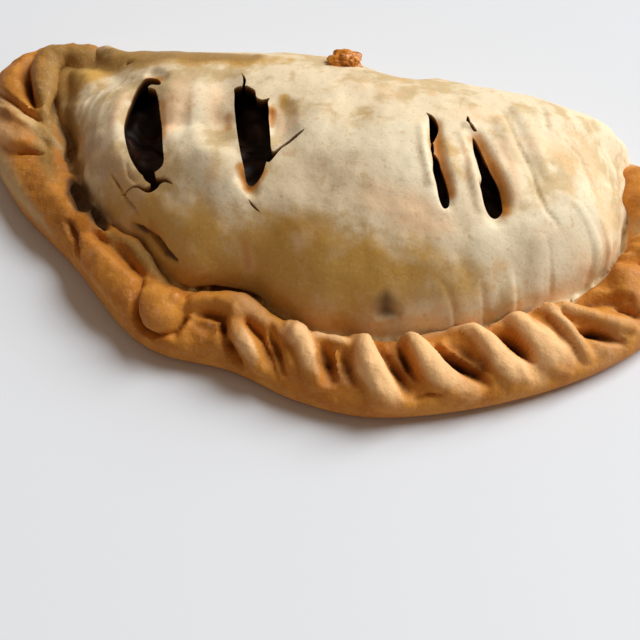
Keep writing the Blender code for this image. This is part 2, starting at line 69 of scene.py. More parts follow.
# Pleats, lips, thumb marks and creases of the rope, as strokes of (s, q, half width, height), where q is the
# distance up from the outermost edge.
ROPE_FOLDS = [
    # back left corner: a curled leaf of dough beside a crevice, over a hollow
    [(-2, 15, 4, 1.6), (5, 15.4, 5, 3.2), (12, 15.8, 4.6, 4), (19, 16.6, 3.6, 4), (24.5, 17, 2.8, 3.4),
     (29.5, 16.4, 2.2, 2.4), (33, 15.4, 1.6, 1)],
    [(7, 8.6, 1.4, -1.2), (11, 8.8, 2, -3), (15, 10.4, 2.2, -4.4), (20, 13, 2, -4.4), (25, 14.8, 1.8, -3.6),
     (29, 15.4, 1.2, -1.8)],
    [(2, 20, 1.2, -0.8), (9, 21, 1.4, -1.4), (16, 20.8, 1.6, -1.8), (23, 19.6, 1.6, -2.2),
     (28, 18, 1.2, -1.4)],
    [(8, 4, 5, 0.8), (16, 6, 6, 1.6), (23, 7.6, 5.4, 2), (28, 10.4, 4, 2), (31.4, 13, 2.8, 1.6)],
    [(-18, 29, 8, 0.8), (-13, 25.4, 8, 2.4), (-7, 21.4, 8, 2.8), (0, 20, 6, 2)],
    [(2, 18, 7, 0.8), (-4, 20, 8.4, 2.4), (-10, 23, 9, 2.8), (-16, 27, 8, 1)],
    [(-7, 16.6, 4, 0.8), (-11, 18, 4.4, 1.8), (-15, 20.4, 4, 0.8)],
    [(-6, 26, 7, 1.6), (2, 25, 6, 3.2), (10, 25, 6, 3.4), (18, 25.4, 5, 2.6), (25, 25, 4, 1)],
    # left end: a lobe with a nick in it, then a broad smooth band with two pits behind it
    [(23.6, 3.4, 1.4, -1.2), (26.6, 7, 2, -2), (29.6, 10, 2.2, -2.4), (32.4, 12.6, 2, -2.4),
     (34, 14.6, 1.2, -1.4)],
    [(28.6, 4.6, 2.6, 0.8), (31.6, 8, 3.4, 1.6), (35.4, 11.4, 3.4, 1.8), (40.4, 14.6, 3, 1.4),
     (45, 17, 2.4, 0.8)],
    [(36.6, 6.4, 6, 1.4), (42, 9, 6.4, 2.2), (48.5, 11.4, 4.6, 2.4)],
    [(53, 9.6, 1, -0.8), (53, 11.6, 1.2, -1.8), (53, 14, 1, -1.4)],
    [(60, 8, 7, 1.2), (82, 9, 7, 1.4)],
    [(28, 25, 2.6, -1.4), (34, 24, 3, -2.4), (42, 22.4, 3, -2.4), (52, 21.6, 2.4, -1.8), (62, 20, 2, -1)],
    [(70, 21.5, 2.4, -3), (75, 20.4, 3.6, -5.6), (80, 19, 3.6, -6), (84.4, 16.8, 2.6, -3.6)],
    [(84.4, 21.6, 1.8, -3), (89, 19.6, 2.6, -5), (93.6, 17.2, 2.4, -4.6), (96.6, 16.4, 1.6, -2)],
    # a narrow lobe lying back from the dome, its top edge lifted, and a ledge behind it
    [(88, 9.5, 1.4, -1.4), (91, 8.2, 1.8, -2.4), (96, 6.6, 1.8, -2.4), (100.5, 4.6, 1.4, -1.4)],
    [(98, 8, 5, 1.6), (104, 8.4, 6.6, 3.4), (112, 8.6, 6.8, 3.4), (119, 8.4, 6, 2.6), (122.5, 7, 4, 1)],
    [(97, 12.6, 2, -1.6), (104, 13, 2.6, -3), (112, 13.8, 3, -3.2), (119, 15, 2.6, -2.2)],
    [(99, 18.5, 2.4, 0.8), (105, 18.6, 3.2, 2), (112, 18, 3.4, 2.2), (119, 18, 3.2, 1.6),
     (125, 19, 2.4, 0.8)],
    # a round knob of dough behind a crescent crease
    [(128, 11.6, 5.6, 2.4), (133, 10.4, 7, 3.8)],
    [(121.5, 13.5, 1.4, -1.6), (124.5, 9.5, 1.8, -2.6), (127, 6.2, 1.8, -3), (130.5, 4.2, 1.8, -3.2),
     (135, 4.2, 1.6, -2.6), (138.5, 6, 1.2, -1.2)],
    [(136.5, 15.5, 1.4, -1.6), (139.5, 10.5, 2, -3), (139.5, 6, 1.6, -2)],
    # a long curved lip with a gap behind it and a hollow in front
    [(135.5, 14.5, 2, 1.4), (141, 15.8, 3.2, 2.4), (148, 16.6, 3.6, 3), (155, 16, 3.8, 3),
     (163, 15.4, 3.4, 2.2), (171, 15.5, 3.6, 1.8)],
    [(127, 24.6, 1.8, -1.6), (133, 25, 2.4, -3.4), (140, 25.4, 2.8, -4.6), (147, 25.6, 2.8, -4.8),
     (154, 25, 2.6, -4.2), (161, 24.4, 2.2, -3), (170, 24.4, 2, -2), (178, 24.6, 1.8, -1)],
    [(140.5, 13, 1.6, -1.6), (145, 13.2, 2.6, -3.6), (150, 12.6, 2.2, -3), (151.5, 9.5, 1.6, -1.8)],
    [(142.5, 10.5, 2.4, -1), (148, 8.5, 2.6, -1.4)],
    # a finger of dough between two creases
    [(152, 12.8, 2.2, 1.4), (156, 10, 3.6, 2.8), (161, 8, 4, 3), (165, 4.8, 3.2, 1.8)],
    [(150.5, 10.5, 1.3, -1.6), (154.5, 6.2, 2, -2.6), (159.5, 2, 1.4, -1.2)],
    [(157.5, 12.6, 1.4, -2), (162, 11, 2.2, -3.2), (166, 7.4, 2, -2.6), (169.5, 3.6, 1.4, -1)],
    [(165, 13.4, 2, -2), (168.2, 10, 2.8, -3.4), (171, 6, 2.4, -1.8)],
    # the front: slanting pleats, each with a thumb mark beside it
    [(170.4, 17, 2.8, 1.2), (173.6, 15.4, 3.8, 3), (176, 13.4, 3.8, 3), (177.8, 11.2, 3.6, 2.6),
     (179.2, 9, 3.4, 1.8), (180.4, 6.4, 3.2, 0.8)],
    [(181.4, 14.4, 2.6, -3), (183, 11.4, 3.2, -4), (184.4, 8, 2.8, -2.2)],
    [(185.2, 13.4, 1.4, 0.6), (186, 11, 1.4, 0.4)],
    [(187.4, 13, 2.6, -2.6), (189, 10.8, 3, -3.2), (190.6, 8.4, 2.4, -1.6)],
    [(178.5, 17.6, 1.6, 1), (182, 17.2, 1.8, 1.6), (185.5, 16.6, 1.6, 1.6), (188.5, 16.4, 1.6, 1)],
    [(190.8, 18.8, 2.8, 1.6), (193, 16.2, 4, 3.4), (195, 12.6, 4.6, 3.6), (197.4, 9.2, 5, 3.2),
     (200, 5.6, 5.2, 2.4), (202.4, 2.4, 5, 1.2)],
    [(196.6, 18, 1.6, -1.6), (199.4, 14.8, 2.2, -3.4), (201, 12, 2.4, -3.7), (203, 9, 2.2, -3),
     (204.6, 6.2, 1.8, -1.6)],
    [(201.6, 16.6, 3, -1.8), (204.2, 11, 3.4, -2.2), (206.4, 6.4, 3.2, -1.2)],
    [(203.6, 18.6, 1.6, -2), (204.8, 15.4, 2, -3.4), (206.2, 12, 2, -3.2), (208, 9, 1.6, -1.6)],
    [(205.4, 20.4, 2.2, 2.6), (208.4, 16, 3.8, 3.6), (211.2, 12.8, 4.8, 3.4), (214, 9.6, 5.2, 2.8),
     (217.2, 6.8, 5, 1.8), (220.6, 4.2, 4.4, 0.9)],
    [(214.2, 15.8, 1.8, -2.4), (217, 13.4, 2.4, -4.8), (220.6, 10.6, 2.6, -5.2), (224.2, 7.8, 2.2, -3.6),
     (226.4, 5.2, 1.8, -1.2)],
    [(219.4, 16.6, 3, -2), (223.6, 13.2, 3.2, -2.2), (226.4, 9.4, 2.6, -1.4)],
    [(210, 20.8, 1.8, 1.6), (214, 20.8, 2, 2.8), (219, 21.2, 2, 3.2), (223.6, 20.2, 2.4, 3.6),
     (227, 17.8, 2.8, 3.4), (229.6, 14.6, 3.8, 3.2), (231.6, 11, 4.6, 2.8), (233.6, 7.2, 5, 1.8),
     (235.4, 4, 4.6, 0.7)],
    [(232.6, 18.6, 1.4, -1.6), (235.2, 16.4, 2.2, -4.2), (237, 13.4, 2.6, -5), (239, 10.4, 2.4, -4),
     (239.8, 8.2, 1.4, -1.2)],
    [(234.4, 20.6, 1.8, 1), (238.6, 21, 2.6, 2.4), (242, 19, 4.4, 3.2), (243.4, 14, 5.4, 3.2),
     (245.4, 9.6, 6, 2.6), (248, 5, 5.4, 1)],
    [(244.4, 17.6, 1.2, -0.9), (245.6, 15.2, 1.6, -1.3), (246.8, 12.6, 1.2, -0.6)],
    [(250.5, 19.6, 2, 1.4), (253, 16.6, 2.6, 3), (254.2, 12.6, 2.6, 3), (254.8, 9.2, 2.4, 2.2),
     (255, 5.4, 2.4, 1)],
    [(207.4, 4, 0.9, -0.9), (210.4, 5, 1.2, -1.3), (213.6, 5, 0.9, -0.9)],
    # right end: a hollow under a lip, then plainer folds, some of which climb the foot of the dome
    [(254, 18.6, 2, 1.4), (257.6, 16.6, 2.8, 3), (261, 14.8, 2.8, 3), (264.6, 12.2, 2.8, 2.8),
     (268, 9.4, 2.6, 2), (271, 7, 2.4, 1)],
    [(257.4, 10.8, 1.6, -3), (260.6, 9.4, 2.4, -4.8), (263.6, 7, 2.2, -3.8), (266, 4.8, 1.6, -1.6)],
    [(262, 20, 2.4, -1.6), (270, 16, 3.2, -2.6), (276, 12, 2.4, -1.6)],
    [(272.5, 11.6, 1.6, -2.2), (275, 8, 1.8, -2.4)],
    [(278, 12.6, 4.4, 2), (285, 15.4, 5, 3), (293, 18.6, 4.4, 2.4)],
    [(291, 18, 3, -3), (298, 13, 3.2, -4.4), (306, 5, 2.4, -2.6)],
    [(300, 17, 5, 2.2), (307, 11, 5, 2.6), (311, 5, 4, 1.6)],
    [(286, 48, 3, 0.3), (284, 36, 3, 0.6), (277, 27, 2.6, 0.8)],
    [(294, 40, 2.6, 0.4), (290, 30, 2.6, 0.7), (284, 23, 2.6, 0.8)],
    [(306, 18, 5, 1.6), (314, 16, 6, 3), (324, 15, 7, 3.6), (334, 14, 6, 2.4)],
    [(322, 24, 6, 2), (334, 24, 8, 3.4), (346, 24, 8, 2.4)], [(315, 9, 2.4, -2.6), (320, 4, 3, -2)],
    [(328, 8, 2.8, -2.4), (332, 4, 3, -2)],
    # the gap along the foot of the dome, and a soft pit in it
    [(104, 23, 2.4, -1), (116, 23, 2.6, -1.4), (150, 22.6, 2.6, -1.8), (200, 22.6, 2.2, -1.2),
     (250, 22.6, 2.2, -1.2), (275, 22.5, 2, -0.6)],
    [(197.4, 34.6, 2.4, -0.9), (200.4, 35.4, 3, -1.6), (203.4, 34.6, 2.4, -0.9)],
]
SWELLS = [    # broad swells and hollows of the dome, as strokes of (x, y, half width, height)
    [(-33, 12, 14, 1.4), (-31, -2, 14, 1.4)], [(2, 8, 22, 1), (20, 0, 22, 1.4)],
    [(7, 16, 10, -1), (3, -8, 10, -1.2)],
    [(-84, 36, 16, -0.6), (-66, 36, 19, -3.4)], [(-74, 48.5, 6, -1.2), (-67, 48, 7, -1.2)],
    [(-31, 24, 8, -1.6), (-29, 12, 8, -2.2), (-26, 2, 7, -1.2)], [(10, 44, 9, -2.5), (17, 42, 10, -4)],
    [(40, 40, 16, 0.8), (52, 36, 14, 0.8)],
    [(40, -24, 10, 1), (56, -14, 10, 1)], [(62, -8, 10, 1.4), (72, 3, 9, 1.8)],
    [(-27, -4, 7, 1.2), (-19, -13, 7, 1.4)], [(-12, 14, 5, -1.6), (-9, 4, 5, -1.4)],
    [(1, 12, 9, 0.8), (3, 0, 9, 0.8)], [(-62, 20, 10, 1.2), (-60, 4, 10, 1.5)],
    [(-50, -14, 8, 1.4), (-38, -26, 8, 1.4)],
]
DOME_FOLDS = [    # its dents, wrinkles and lumps, in the same way
    # the dough sinks in beside the openings, and stands up round the first one
    [(40.5, 11.5, 3.4, -1), (43.4, 7, 4.6, -2.6), (46.6, 1.5, 5, -3.2), (49, -4, 4.8, -3),
     (49, -8.5, 3.4, -1.4)],
    [(37, 11, 2, 0.5), (40.6, 5, 2.4, 1.2), (42.4, -2, 2.4, 1.4), (45, -8, 2, 0.6)],
    [(29.4, 13, 2.4, -0.9), (30.8, 7, 3, -1.8), (32.4, 1, 3.4, -2.2), (35, -5, 3.6, -2.4),
     (36.6, -9.5, 2.6, -1.2)],
    [(26.6, 10, 1.8, 0.4), (28.6, 2, 2, 0.9), (32, -6, 2, 0.7)],
    [(-58, 22, 3, 0.5), (-58.5, 13, 3, 0.9), (-56.5, 4, 3, 0.6)],
    [(-45.4, 20, 6, 0.9), (-43.4, 12, 6, 1.3), (-41, 4, 5, 1)],
    [(-52.6, 29.5, 3, -1.4), (-49, 27, 3, -1.2)], [(-14, 12, 2.4, -0.9), (-12, 5, 2.4, -0.5)],
    [(-16, -10, 3, -1.4), (-13.4, -12.4, 2.6, -1)],
    # fine wrinkles round the left end, and creases on the right
    [(-60.5, 32, 1.1, 0.2), (-63.5, 24, 1, 0.22), (-64.5, 15, 1, 0.2), (-63, 6, 1, 0.15)],
    [(-57.5, 31, 1, 0.15), (-60.6, 23, 1, 0.2), (-61.4, 14, 1, 0.15)],
    [(-67.5, 26, 1, 0.2), (-68.4, 18, 1, 0.22), (-67, 9, 1, 0.2), (-64, 1, 1, 0.15)],
    [(-71, 24, 1, 0.2), (-71.5, 16, 1, 0.2), (-69.5, 7, 1, 0.2)],
    [(45.7, 24, 0.9, -0.4), (50.9, 14.7, 1, -0.7), (55.1, 9, 1, -0.7), (58, 2.5, 1, -0.7),
     (61.5, -2.5, 1, -0.5), (65.1, -4.6, 0.9, -0.3)],
    [(63.8, 21.2, 1, -0.4), (67.6, 19.8, 1.1, -0.6), (71.4, 14, 1.1, -0.7), (74.4, 8.3, 1, -0.5)],
    [(74.9, 27.5, 1, -0.4), (78.6, 19.6, 1.1, -0.7), (79.2, 12.6, 1, -0.5)],
    [(56.3, 30.3, 1.6, -0.8), (58.4, 23.4, 1.4, -0.5)],
    [(50, 26, 3, 0.8), (56, 17, 3.6, 0.9), (60, 8, 3, 0.7)],
    [(46, 20, 3, 0.6), (52, 8, 3, 0.7), (55, -2, 3, 0.5)],
    [(-56, 1, 3.4, 0.7), (-48, -7, 3.6, 0.9), (-39, -14.5, 4, 1), (-30, -21, 4, 0.7)],
    [(37.6, 14.6, 1.3, 0.8), (39.2, 14.8, 1.2, 0.8)],
    # lumps where the dough was gathered along the foot of the dome
    [(40, -27, 4, 0.5), (45, -25, 4.4, 0.7), (49, -25.6, 3, 0.4)],
    [(36, -24, 3, 0.3), (40.5, -22.4, 3.4, 0.5), (43, -24, 3, 0.4)],
    [(52, -22, 4, 0.5), (55, -18.6, 4, 0.6)], [(58, -19.6, 3, 0.4), (62, -15, 3.6, 0.6), (61, -10, 3, 0.2)],
    [(47, -19, 4, 0.4), (50, -15, 4, 0.3)],
    [(38.5, -25, 0.9, -0.3), (42, -26.4, 1, -0.5), (44.6, -28.8, 0.9, -0.4)],
    [(48.4, -21.6, 0.9, -0.2), (51, -25, 1, -0.5)],
    [(56.4, -16.6, 0.9, -0.2), (59, -20.8, 1, -0.5)], [(63.6, -8.6, 0.9, -0.2), (66, -13.4, 1, -0.4)],
]
SEAMS = [    # the seam along the lower left, and finer cracks in the dome
    [(-55.4, -3.4, 0.6, -0.6), (-53, -6.3, 0.7, -1), (-50.4, -8.8, 0.6, -0.7), (-47.5, -11.2, 0.7, -1),
     (-44.8, -13.4, 0.6, -0.6)],
    [(-46.4, -14.2, 0.5, -0.8), (-43.4, -15.6, 0.7, -1.6), (-40.9, -17.1, 0.6, -1.4),
     (-37.7, -19.9, 0.8, -2), (-34.8, -23, 0.8, -2.2), (-31.5, -25.7, 0.6, -1)],
    [(-63.3, 38.1, 1, -1.2), (-61.8, 38.4, 0.9, -1)],
    [(-51, -3, 0.7, -0.6), (-49.6, -5.6, 0.8, -0.8), (-47, -7.6, 0.7, -0.5)],
]
TORN_HOLES = [    # the outlines of the openings and of the finer tears beside them, as x, y
    [(-55.9, 22), (-55.9, 19.2), (-56, 15.2), (-55.5, 10.4), (-53.5, 4.9), (-50.6, -0.6), (-47.6, -4.4),
     (-45.4, -6.2), (-43.6, -6.4), (-40.6, -5.3), (-39.9, -3.6), (-41.2, 0.4), (-43.7, 8.2), (-46.1, 14.3),
     (-47.8, 18.9), (-49.6, 22.6), (-51.4, 23.7), (-52.3, 23.9), (-51.6, 24.6), (-50.2, 24.4),
     (-48.8, 24.2), (-48.9, 25.6), (-50.4, 27.2), (-52.4, 27.9), (-54.4, 27.2), (-55.7, 25.2)],
    [(-35.9, -9.8), (-37.7, -8.1), (-39.3, -7.4), (-40.9, -7.2), (-41.7, -6.6), (-42.4, -5.3),
     (-44.3, -4.4), (-45.7, -5.4), (-44.8, -7.1), (-43.6, -8.1), (-42.6, -8.7), (-42.9, -9.1), (-44.4, -9),
     (-46.2, -8.3), (-47.9, -8.3), (-49.7, -8.7), (-51.4, -9.3), (-49.4, -9.2), (-47.5, -8.9),
     (-45.9, -9.2), (-44.6, -10), (-43, -10.7), (-41.4, -10.6), (-40.3, -9.9), (-39.6, -9.1), (-38.5, -8.9),
     (-37.2, -9.3)],
    [(-27, 22.4), (-25.6, 23), (-23.6, 22.8), (-21.8, 21.8), (-20.4, 20.3), (-19.4, 17.8), (-17.6, 16.8),
     (-15.8, 17.6), (-15.8, 15.9), (-15, 13.6), (-14.6, 11.6), (-13.8, 8.8), (-12.4, 4), (-11.2, -0.4),
     (-10.5, -2.4), (-11.3, -4.9), (-11.5, -7.8), (-12.3, -10), (-13.8, -11), (-15.3, -10.4), (-16.6, -7.8),
     (-19.1, -2.1), (-21.4, 4), (-23.4, 10), (-25.2, 15.6), (-26.3, 20.2)],
    [(-11.4, -1.2), (-10, -1.9), (-7.7, 1.2), (-5.8, 3.4), (-3.3, 4.9), (-4.6, 2.9), (-7, 0.2),
     (-8.5, -1.5), (-10.3, -4.9), (-11.6, -4.4)],
    [(-26.5, 29), (-25.5, 26.7), (-24.9, 24.4), (-25, 22.6), (-24, 22.6), (-24.1, 24.8), (-25, 26.9)],
    [(-14, -14.5), (-12.9, -15.1), (-11.3, -16.1), (-10.4, -16.9), (-11.6, -16.5), (-13.1, -15.6)],
    [(26.8, 15.9), (28.5, 15.2), (30, 13.7), (30.9, 11), (30.6, 8), (29.9, 5.6), (29.3, 6.6), (28.6, 10),
     (27.8, 13.8)],
    [(29.9, 6.2), (30.5, 5.8), (31, 3.4), (30.4, 2.6), (29.9, 4)],
    [(30.3, 3.2), (31.2, 0.2), (31.8, -3.4), (33.4, -6.6), (34.6, -9.6), (36.2, -11.4), (37.3, -10),
     (37, -7.6), (35.6, -4.2), (33.6, -0.6), (32.2, 2.2)],
    [(37.4, 18), (38, 17.4), (38.9, 15.2), (40.6, 14), (39.8, 13.5), (38.3, 14.6), (37.4, 16)],
    [(39.8, 11.8), (41.4, 10.8), (43.9, 7.6), (46.1, 4), (48.4, 0.6), (50, -2.8), (50.7, -6), (49.6, -8.2),
     (47.6, -8.6), (46, -7.4), (44.8, -5), (43.7, -2.6), (44, 0), (42.4, 3.6), (41, 7.4)],
]
# Where the dome has baked darker, taken on colour or stayed pale, and where painted shade and painted
# highlight darken or lighten it, as strokes of (x, y, half width, share).
# browned, and partly painted shade on the front face of the dome, which faces away from the light
BROWNED_AND_SHADED = [
    [(-62, 2, 9, 0.3), (-52, -10, 13, 0.7), (-38, -20, 15, 0.9), (-20, -27, 14, 1), (0, -28, 14, 1),
     (14, -31, 12, 0.9), (28, -30, 8, 0.5)],
    [(-6, -19, 9, 0.5), (6, -20, 9, 0.6)],
    [(18, -25, 9, 0.7), (30, -23, 9, 0.7), (41, -24, 8, 0.7), (50, -22, 6, 0.5)],
    [(-66, 42, 12, 0.9), (-55, 36, 8, 0.8), (-40, 36, 7.5, 1), (-26, 37, 8, 1), (-16, 38, 7, 0.6)],
    [(-84, 38, 12, 1), (-74, 34, 11, 1), (-68, 28, 6, 0.4)], [(33.5, 8, 3, 0.4), (37, 0, 3.6, 0.5)],
    [(-12, 18, 3, 0.8), (-9, 12, 4, 0.5), (-4, 8, 3, 0.3)],
]
# peach blush, and partly painted highlight where the light falls on the dome
PEACHY_AND_LIT = [
    [(-42, 24, 7, 0.6), (-40, 18, 7, 0.9), (-40, 12, 6, 0.8), (-40, 4, 5, 0.4)],
    [(-45, 19, 3, 0.5), (-41.4, 7, 2.4, 0.7)],
    [(-58.5, 21, 2.6, 0.9), (-59.5, 13, 3, 1), (-58, 7, 2.4, 0.6)],
    [(-32, 22, 6, 0.8), (-30, 14, 5, 1), (-27, 8, 3, 0.6)],
    [(18, -13, 9, 0.6), (27, -13.5, 9, 1), (37, -14.5, 7, 0.8)],
    [(52, 14, 6, 0.5), (60, 17, 7, 0.9)], [(1, -22.8, 5, 0.6), (6, -20, 4, 0.4)],
    [(-12, -25, 4, 0.5), (-16, -23, 3, 0.4)],
    [(66, 24, 9, 0.5), (76, 12, 6, 0.7), (79, 2, 5, 0.8)],
    [(38, 9, 2.4, 0.6), (40, 2, 2.6, 0.7), (41, -3, 2.4, 0.5)],
    [(47, 12, 3, 0.8), (52, 5, 3.4, 0.9), (54, -3, 2.6, 0.6)],
    [(-12.4, 13, 2.4, 1), (-9.6, 6, 3, 0.9), (-7, 9, 3, 0.5)],
    [(34, 17, 6, 0.5), (44, 22, 7, 0.5)], [(2, 26, 8, 0.3), (16, 24, 8, 0.4)],
    [(60, -8, 5, 0.3), (74, -5, 5, 0.6)],
]
# pale powdery dough, and partly painted highlight that lightens shaded slopes and the foot of the dome
POWDERY_AND_LIT = [
    [(-58.2, 9.6, 2, 1), (-57, 6.2, 1.8, 0.8)],
    [(-38, 20, 7, 0.9), (-36, 10, 7, 1), (-36, 3, 6, 0.8), (-30, -5, 6, 1), (-22, -13, 6, 1),
     (-15, -19, 5, 0.8)],
    [(-4, 6, 9, 0.7), (6, 2, 10, 0.8), (18, 4, 9, 0.8)],
    [(22, 8, 6, 0.9), (24, -2, 6, 0.9)], [(52, 22, 7, 0.6), (56, 8, 6, 0.5)],
    [(48, -16, 9, 0.9), (58, -10, 9, 0.9), (66, -2, 7, 0.9)],
    [(70, 12, 6, 0.6), (73, 0, 8, 1), (70, -9, 8, 1), (60, -17, 8, 0.8)],
    [(20, -6, 10, 0.7), (34, -10, 10, 0.9)],
    [(0, -34, 3, 0.6), (14, -34.4, 3.4, 0.8), (22, -33, 3.6, 0.7), (32, -31, 3, 0.7), (40, -29.6, 4, 1.1),
     (50, -25.6, 4, 0.9)],
    [(-69, 22, 4, 0.3), (-66, 10, 4, 0.3)], [(26.6, 10, 2, 0.8), (30, -3, 2, 0.8), (40, 5, 1.6, 0.7)],
]
# painted shade, mauve-grey, on the lower left of the dome, which faces away from the light
MAUVE_SHADE = [[(-66, 10, 5, 0.6), (-60, 1, 6, 0.9), (-50, -9, 6, 1), (-40, -17, 5, 0.9), (-32, -23, 4, 0.6)]]
DULL = [    # khaki, in the shade of the back left corner and along the seam
    [(-88, 48, 8, 0.5), (-80, 45, 8, 1), (-74, 43, 8, 1), (-66, 44, 8, 1), (-56, 43, 7, 1), (-46, 41, 6, 1),
     (-36, 40, 6, 0.9), (-26, 40, 6, 0.7)],
    [(-83, 40, 6, 0.9), (-79, 34, 6, 0.9), (-77.5, 27, 5, 0.8), (-76, 20, 4.4, 1), (-73, 13, 4, 1),
     (-70.5, 6, 3.4, 0.8)],
    [(-86.5, 42, 4, 0.7), (-84.4, 34, 4.4, 0.8), (-83, 27, 4.4, 0.8), (-80, 22, 4, 0.7)],
    [(-90, 47, 6, 0.6), (-90, 38, 6, 0.6), (-88, 30, 5, 0.6)],
    [(-85.5, 26, 5, 0.6), (-83, 19, 5, 0.8), (-80.5, 12, 5, 0.9), (-78, 5, 4.4, 0.7), (-74, -2, 4, 0.6)],
    [(-66, 39, 8, 0.7), (-54, 37.5, 8, 0.7), (-42, 36.5, 8, 0.7), (-30, 36.5, 7, 0.6), (-20, 37, 6, 0.4)],
    [(-52, -18, 4, 0.7), (-46, -21, 4.4, 0.9), (-40, -25, 4, 0.8), (-34, -29, 4, 0.6)],
    [(-62, -8, 4, 0.7), (-56, -14, 4, 0.8)],
]
# painted shade: nearly black, deep in the pits and the groove at the foot of the dome
PIT_SHADE = [    # nearly black, deep in the pits at the foot of the dome
    [(-68, -1, 3.6, 1), (-65.8, -4.8, 4.6, 1.5), (-63, -9, 4, 1.5)],
    [(-61, -8.4, 3, 1.1), (-58, -11.8, 3.4, 1.5), (-56, -14, 2.6, 1.1)],
    [(-77.6, 23, 2, 0.3), (-75, 17, 2.4, 0.5), (-72.4, 12, 2, 0.3)],
    [(22.8, -32, 2.2, 0.3), (25.6, -31, 3, 0.7), (29, -31.4, 2.2, 0.3)],
    [(-28, -31, 1.6, 0.7), (-20, -29.6, 1.6, 0.9), (-12, -30, 1.6, 0.8), (-4, -33, 1.6, 0.9),
     (2, -36, 1.6, 0.7)],
]
# stained by the juices round the openings, and partly painted shade where the dough dips into them and in the
# hollow over the top of the first opening
STAINED_AND_SHADED = [    # by the juices round the openings
    [(41, 12, 3, 0.6), (45.6, 6, 3.6, 1), (49, 0, 3.8, 1), (51, -6, 3.4, 0.9)],
    [(30.6, 13, 2.2, 0.6), (31, 6, 2.8, 0.9), (33.6, -0.5, 3, 0.9), (37, -7, 3, 0.9)],
    [(-14.2, 13.6, 2.2, 1), (-13, 8, 1.8, 0.7)],
    [(-18, -7, 2.2, 0.8), (-14.6, -11.4, 2.6, 1), (-11.6, -8, 2.2, 0.9)],
    [(-26, 12, 2.2, 0.6), (-24.6, 7, 1.8, 0.5)], [(-52.6, 27, 3, 1), (-50, 26.6, 2.6, 0.8)],
    [(-56.5, 20, 2, 0.5), (-46, 17, 2, 0.6), (-42, 3, 2, 0.6)],
    [(-12, -25, 2.4, 0.5), (-14, -22, 2, 0.4)],
    [(-41, -17, 2, 0.4), (-36, -22, 2, 0.4)],
]
# Where flour has kept the rope pale, where its crests have coloured and where it has browned most, as strokes
# of (s, q, half width, share). The rosy strokes are partly painted highlight where the light falls on the
# rope's front and right; the toasted ones are partly painted shade, in the hollows between pleats and at the
# left end, which is turned from the light.
FLOURED = [
    [(28, 5, 4, 0.9), (32, 9, 4, 1), (38, 13.6, 4, 1), (46, 17, 3.4, 0.8)],
    [(48, 3, 5, 0.8), (60, 4, 6, 1), (76, 4, 5, 0.8), (88, 3, 4, 0.4)],
    [(8, 26, 4, 0.5), (18, 25, 5, 0.7), (30, 21, 5, 0.9), (40, 22, 5, 0.9), (52, 21.6, 5, 0.6)],
    [(300, 12, 6, 0.7), (312, 20, 6, 0.6)], [(100, 20, 3, 0.6), (118, 20, 3, 0.6)],
]
# partly painted highlight where the light falls on the front and right of the rope
ROSY_AND_LIT = [
    [(38, 6, 6, 1), (45, 9, 6, 1.1)],
    [(176, 14, 5, 0.5), (184, 9, 6, 0.2), (195, 13, 6, 1.4), (202, 6, 6, 0.9)],
    [(209, 16, 4, 0.8), (214, 10, 5, 0.9), (222, 5, 6, 0.8)],
    [(226, 19, 4, 1.1), (232, 9, 5, 1.4), (240, 5, 8, 1.2)],
    [(240, 20, 4, 0.9), (245, 11, 7, 1), (254, 5, 8, 0.7), (266, 5, 8, 0.7), (284, 5, 8, 0.5)],
    [(160, 8, 4, 0.5), (164, 5, 4, 0.5)],
    [(176, 18.6, 3, 0.8), (182, 18, 2.4, 1), (188, 17.6, 2.6, 0.8)],
    [(205, 19.8, 3, 0.9), (212, 20.6, 2.6, 1), (219, 21.4, 2.6, 1), (226, 20, 3, 0.9)],
    [(233, 20.8, 3, 0.9), (240, 21, 3.4, 1), (250, 20, 3, 0.9)],
]
# partly painted shade, in the hollows between the pleats and at the left end
TOASTED_AND_SHADED = [
    [(-26, 30, 10, 0.5), (-10, 28, 12, 0.8), (6, 30, 10, 0.7)],
    [(-12, 14, 14, 0.6), (4, 12, 14, 0.6), (18, 10, 12, 0.6), (30, 10, 8, 0.5)],
    [(36, 9, 4, 0.8), (46, 11, 4, 0.7)], [(56, 12, 5, 0.8), (70, 11, 5, 1), (86, 9, 5, 0.9), (98, 7, 4, 0.7)],
    [(146, 9, 6, 0.6), (152, 4, 6, 0.5)], [(182, 12, 4, 1), (190, 9, 3, 0.8)],
    [(203, 14, 4, 0.9), (205, 8, 4.4, 1)], [(219, 13, 3, 1), (226, 10, 4, 0.9)],
    [(262, 6, 6, 0.3), (286, 6, 7, 0.5), (300, 12, 8, 0.5), (315, 16, 9, 0.5)],
]


def smooth_curve(points, count, closed=False):
    """A curve through the points, as count points evenly shared among its spans."""
    knots = np.asarray(points, float)
    if closed:
        knots = np.vstack([knots[-1:], knots, knots[:2]])
    else:
        knots = np.vstack([2 * knots[0] - knots[1], knots, 2 * knots[-1] - knots[-2]])
    spans = len(knots) - 3
    t = np.linspace(0, spans, count, endpoint=not closed)
    i = np.minimum(t.astype(int), spans - 1)
    f = (t - i)[:, None]
    a, b, c, d = knots[i], knots[i + 1], knots[i + 2], knots[i + 3]
    return 0.5 * (2 * b + (c - a) * f + (2 * a - 5 * b + 4 * c - d) * f**2 + (3 * b - a - 3 * c + d) * f**3)


def run_length(points):
    return np.concatenate([[0], np.cumsum(np.linalg.norm(np.diff(points, axis=0), axis=1))])


def read_off(places, at, values):
    """The rows of values, known at some places, at others."""
    return np.stack([np.interp(places, at, column) for column in values.T], axis=1)


def unit(vectors):
    """The directions of the vectors, each of length 1."""
    return vectors / np.maximum(np.linalg.norm(vectors, axis=-1), 1e-9)[..., None]


def fade(start, end, x):
    """0 at start and 1 at end, with a soft beginning and end."""
    t = np.clip((x - start) / (end - start), 0, 1)
    return t * t * (3 - 2 * t)


